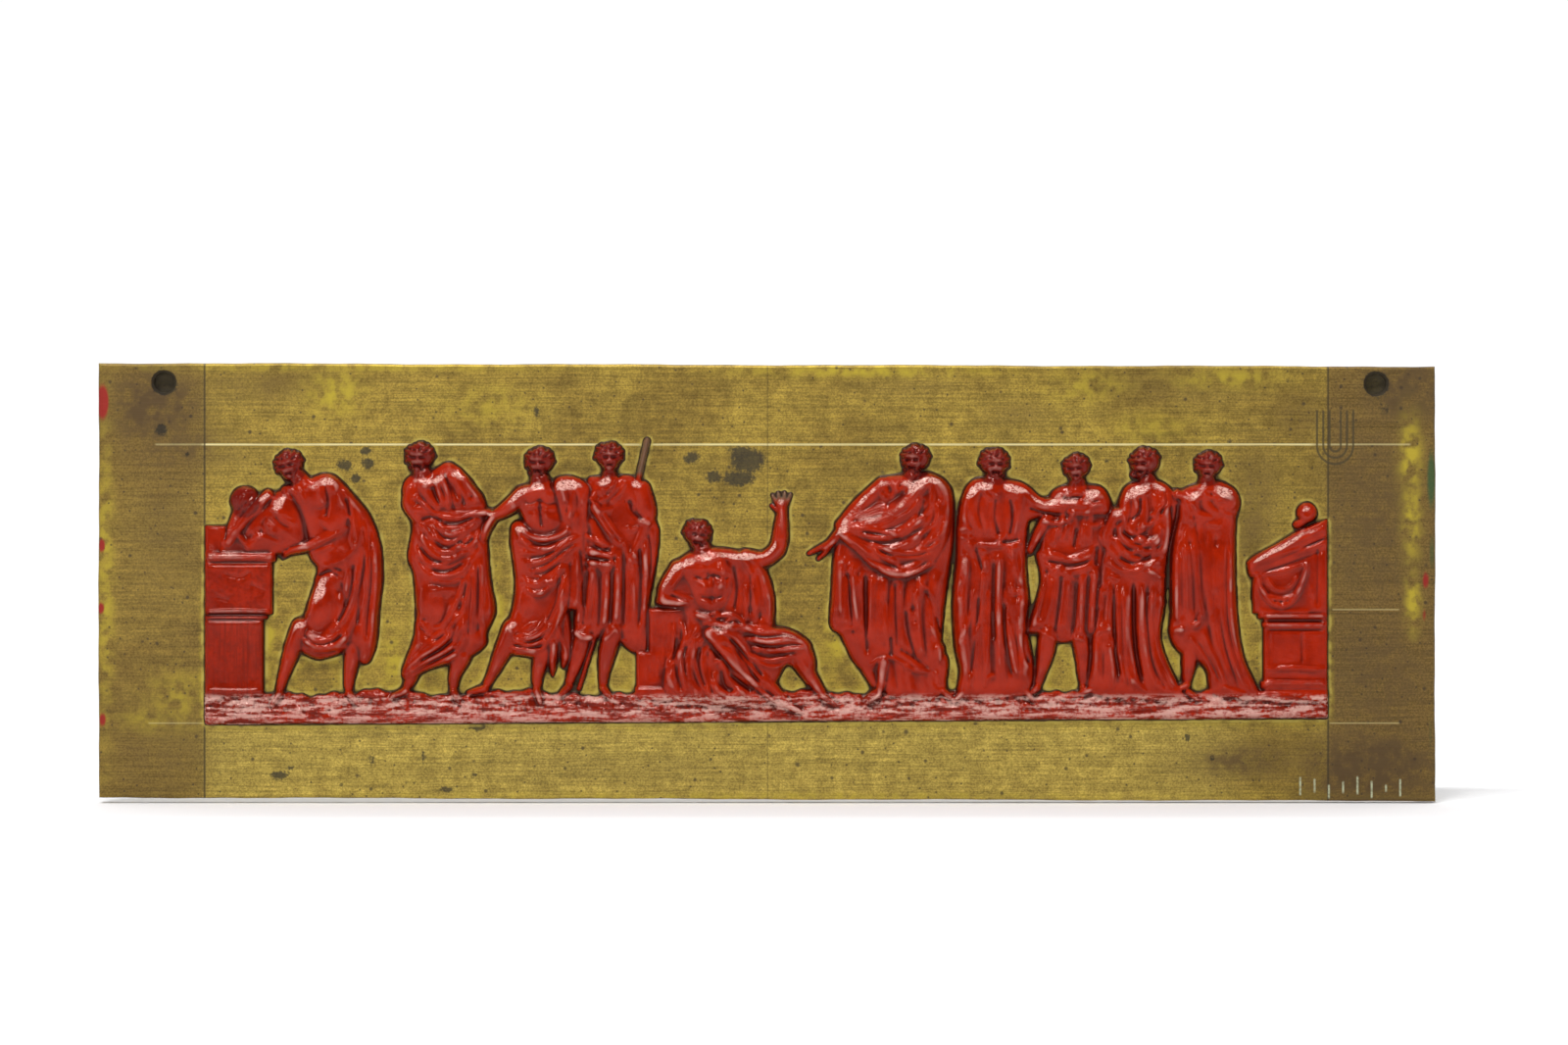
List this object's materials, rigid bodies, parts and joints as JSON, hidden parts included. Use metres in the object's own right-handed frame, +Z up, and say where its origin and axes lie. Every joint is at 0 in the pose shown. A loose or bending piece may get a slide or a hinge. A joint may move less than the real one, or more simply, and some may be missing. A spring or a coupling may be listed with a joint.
{
  "type": "relief plaque",
  "caption": "Long brass plate with two corner holes, carrying a low frieze of draped standing and seated figures modelled in red wax.",
  "frame": {"origin": "centre of the plate's flat back face, which lies against the wall", "axes": "+X to the viewer's right along the plate's length, +Y from the front into the wall, +Z up"},
  "size_m": [0.192, 0.0058, 0.0629],
  "materials": {
    "brass": "dull, finely brushed brass with scored lines, yellow rubbed patches, brown patina at the ends and dark specks",
    "wax": "glossy deep red wax, darker in the heads and along the edges, pale pink where the top layer is rubbed"
  },
  "bodies": {
    "root": {"brass_plate": "brass", "wax_frieze": "wax"}
  },
  "joints": []
}
